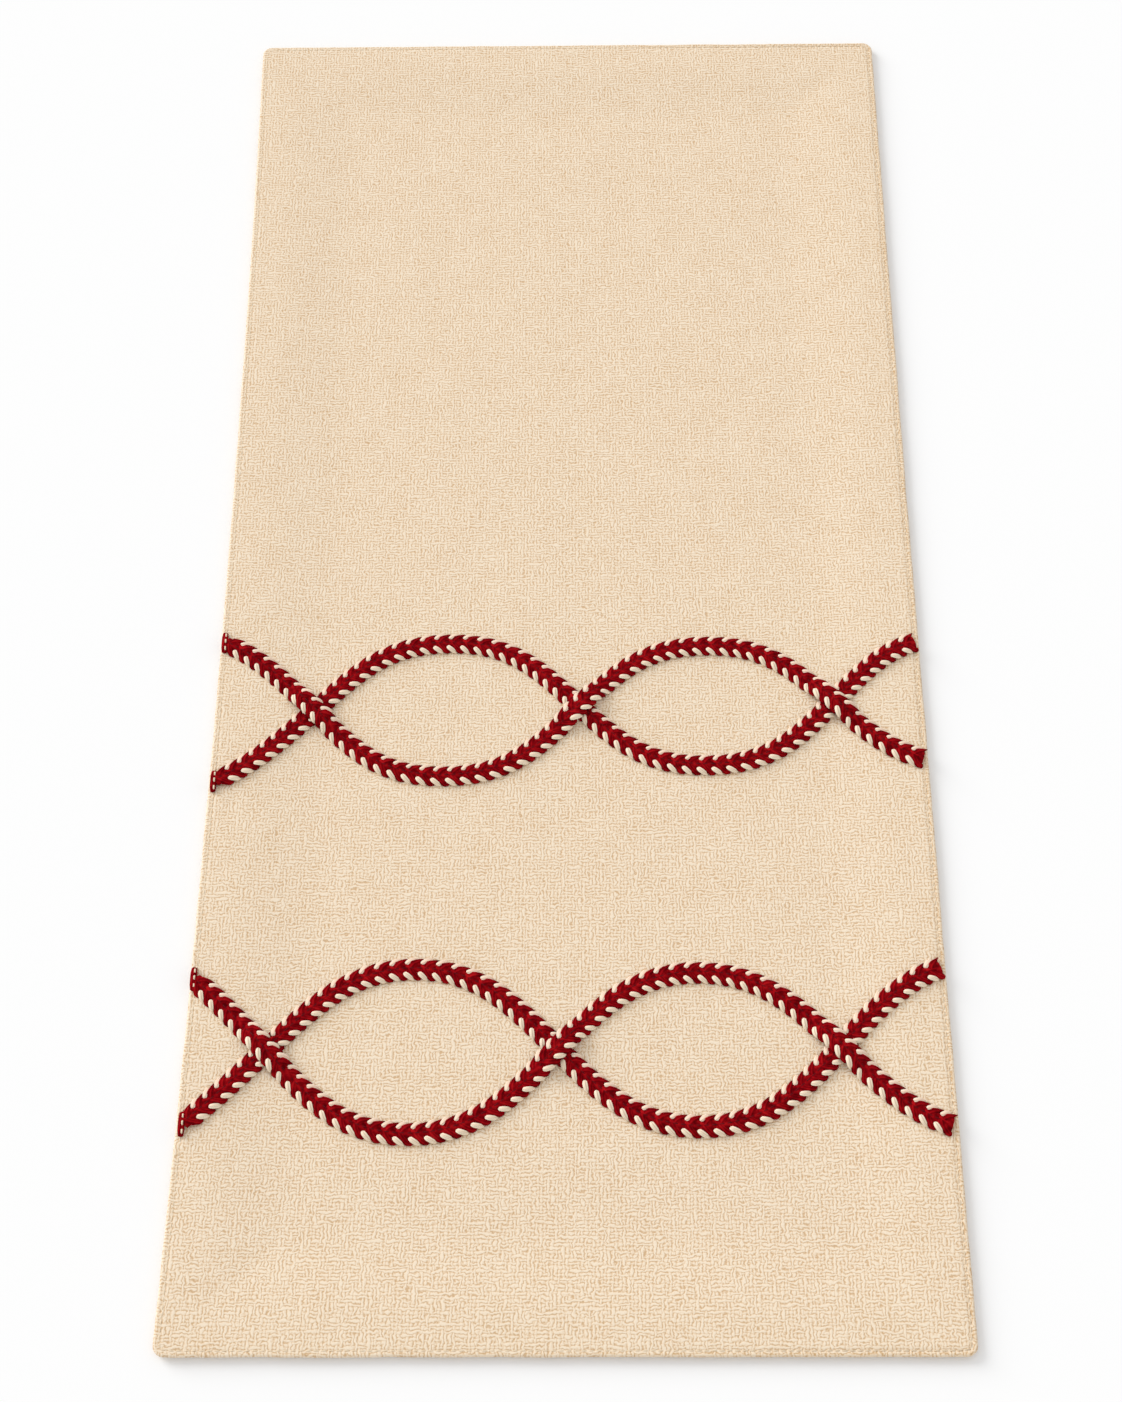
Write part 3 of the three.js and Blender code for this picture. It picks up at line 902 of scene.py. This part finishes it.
left_ends = []
for band_name, band in bands.items():
    for side in ("over", "under"):
        node_name = f"{band_name}_{side}_braid"
        braid_low, braid_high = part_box(f"{node_name}_red_strands")
        line = braid_line(band, side, braid_low.x + end_width / 2, braid_high.x)
        lobes_length = line_length(line) - first_lobe - lobe_reach
        repeats = round(lobes_length / repeat)
        spacing = lobes_length / repeats
        red_lobes = braid_strands("red", red_stations, red_crease, first_lobe)
        core = turn_and_move(yarn_strand("core", core_stations, 0.0), 0, (first_lobe, 0, 0))
        red_piece = join(f"{node_name}_red", red_lobes + [core])
        white_start = first_lobe + spacing / 2
        white_lobes = braid_strands("white", white_stations, white_crease, white_start)
        white_piece = join(f"{node_name}_white", white_lobes)
        thread_piece = yarn_strand(f"{node_name}_thread", thread_stations, 0.0)
        turn_and_move(thread_piece, 0, (first_lobe, 0, 0))
        run_along(red_piece, line, repeats + 1, spacing)
        run_along(white_piece, line, repeats, spacing)
        run_along(thread_piece, line, repeats * 2, spacing / 2)
        end_turn = turn_and_move(yarn_strand("end", end_stations, 0.0), math.pi / 2, line[0])
        tail = turn_and_move(
            yarn_strand("tail", tail_stations, 0.0), 0, (first_lobe + lobes_length, 0, 0)
        )
        run_along(tail, line, 1, spacing)
        red_piece = join(red_piece.name, [red_piece, end_turn, tail])
        left_ends.append(line[0])
        for piece, suffix, slot, material in (
            (red_piece, "red_strands", "red_yarn", red),
            (white_piece, "white_strands", "off_white_yarn", offwhite),
            (thread_piece, "couching_thread", "red_thread", dark_thread),
        ):
            piece.data.materials.clear()
            piece.data.materials.append(material)
            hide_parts(f"{node_name}_{suffix}")
            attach(piece, "root")

# ---- The edge stitching ----
# A lockstitch all round, just inside the edge: the needle thread's stitches sink into the face
# cloth, and the bobbin thread's into the lining.
stitch_length = 0.0033
needle_thread_height = hem_top - 0.0002
bobbin_thread_height = 0.0003
stitch_stations = [
    (0.0002, 0, -0.0002, 0.00012, 0.00012),
    (0.0006, 0, 0.0001, 0.0002, 0.00018),
    (0.0016, 0, 0.00018, 0.00022, 0.0002),
    (0.0026, 0, 0.0001, 0.0002, 0.00018),
    (0.0030, 0, -0.0002, 0.00012, 0.00012),
]

# Where the row passes over a braid's left end, three stitches lie on top of the turned-in end.
end_stitch_inset = 0.0006
end_stitch_places = [(-0.0037, 0.0023), (0.0001, 0.0028), (0.0036, 0.0023)]
end_stitch_stations = [
    (-0.0011, 0, -0.0005, 0.00025, 0.00025),
    (-0.0007, 0, 0.0001, 0.0004, 0.0003),
    (0.0007, 0, 0.0001, 0.0004, 0.0003),
    (0.0011, 0, -0.0005, 0.00025, 0.00025),
]


def stitch_line(height):
    """The edge's own outline, moved in to the row of stitches, as a closed line."""
    half_x = runner_half_width - stitch_inset
    half_y = runner_half_length - stitch_inset
    steps_x, steps_y = 60, 130
    flat = [(-half_x + 2 * half_x * i / steps_x, -half_y) for i in range(steps_x)]
    flat += [(half_x, -half_y + 2 * half_y * i / steps_y) for i in range(steps_y)]
    flat += [(half_x - 2 * half_x * i / steps_x, half_y) for i in range(steps_x)]
    flat += [(-half_x, half_y - 2 * half_y * i / steps_y) for i in range(steps_y + 1)]
    return [Vector((*place_on_outline(x, y), height)) for x, y in flat]


def stitch_row(name, stations, height):
    """A row of stitches all round the edge."""
    line = stitch_line(height)
    count = round(line_length(line) / stitch_length)
    return run_along(yarn_strand(name, stations, 0.0), line, count, line_length(line) / count)


def with_end_stitches(row):
    """The row, joined with the stitches that lie on the braids' left ends."""
    stitches = [row]
    for left_end in left_ends:
        for across, rise in end_stitch_places:
            stitch = yarn_strand("end_stitch", end_stitch_stations, 0.0)
            place = left_end + Vector((end_stitch_inset, across, rise))
            stitches.append(turn_and_move(stitch, math.pi / 2, place))
    return join(row.name, stitches)


cream_thread, cream_tree, cream_shader = new_fabric("cream_thread", 0.8, 0.05)
cream_place = add_node(cream_tree, "ShaderNodeAttribute", attribute_name="yarn")
cream_axes = add_node(cream_tree, "ShaderNodeSeparateXYZ", in_0=cream_place.outputs["Vector"])
# Slanting ply stripes painted into the thread's colour: painted highlight on their crowns and
# painted shade between them.
cream_along = math_node(cream_tree, "MULTIPLY", cream_axes.outputs[0], 9000.0)
cream_slant = math_node(cream_tree, "MULTIPLY_ADD", cream_axes.outputs[1], 3.0, cream_along)
cream_wave = math_node(cream_tree, "SINE", cream_slant)
cream_ply_shade = math_node(cream_tree, "MULTIPLY_ADD", cream_wave, 0.5, 0.5)
cream_shaded_colour = colour_steps(cream_tree, cream_ply_shade, [
    (0.0, (0.70, 0.55, 0.37)),
    (1.0, (0.88, 0.76, 0.58)),
])
cream_tree.links.new(cream_shaded_colour, cream_shader.inputs["Base Color"])

needle_stitches = stitch_row("needle_stitches", stitch_stations, needle_thread_height)
needle_stitches = with_end_stitches(needle_stitches)
bobbin_stations = [(x, y, -z, w, t) for x, y, z, w, t in stitch_stations]
bobbin_stitches = stitch_row("bobbin_stitches", bobbin_stations, bobbin_thread_height)
for stitches, node_name in (
    (needle_stitches, "edge_stitch_needle_thread"),
    (bobbin_stitches, "edge_stitch_bobbin_thread"),
):
    stitches.data.materials.clear()
    stitches.data.materials.append(cream_thread)
    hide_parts(node_name)
    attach(stitches, "root")
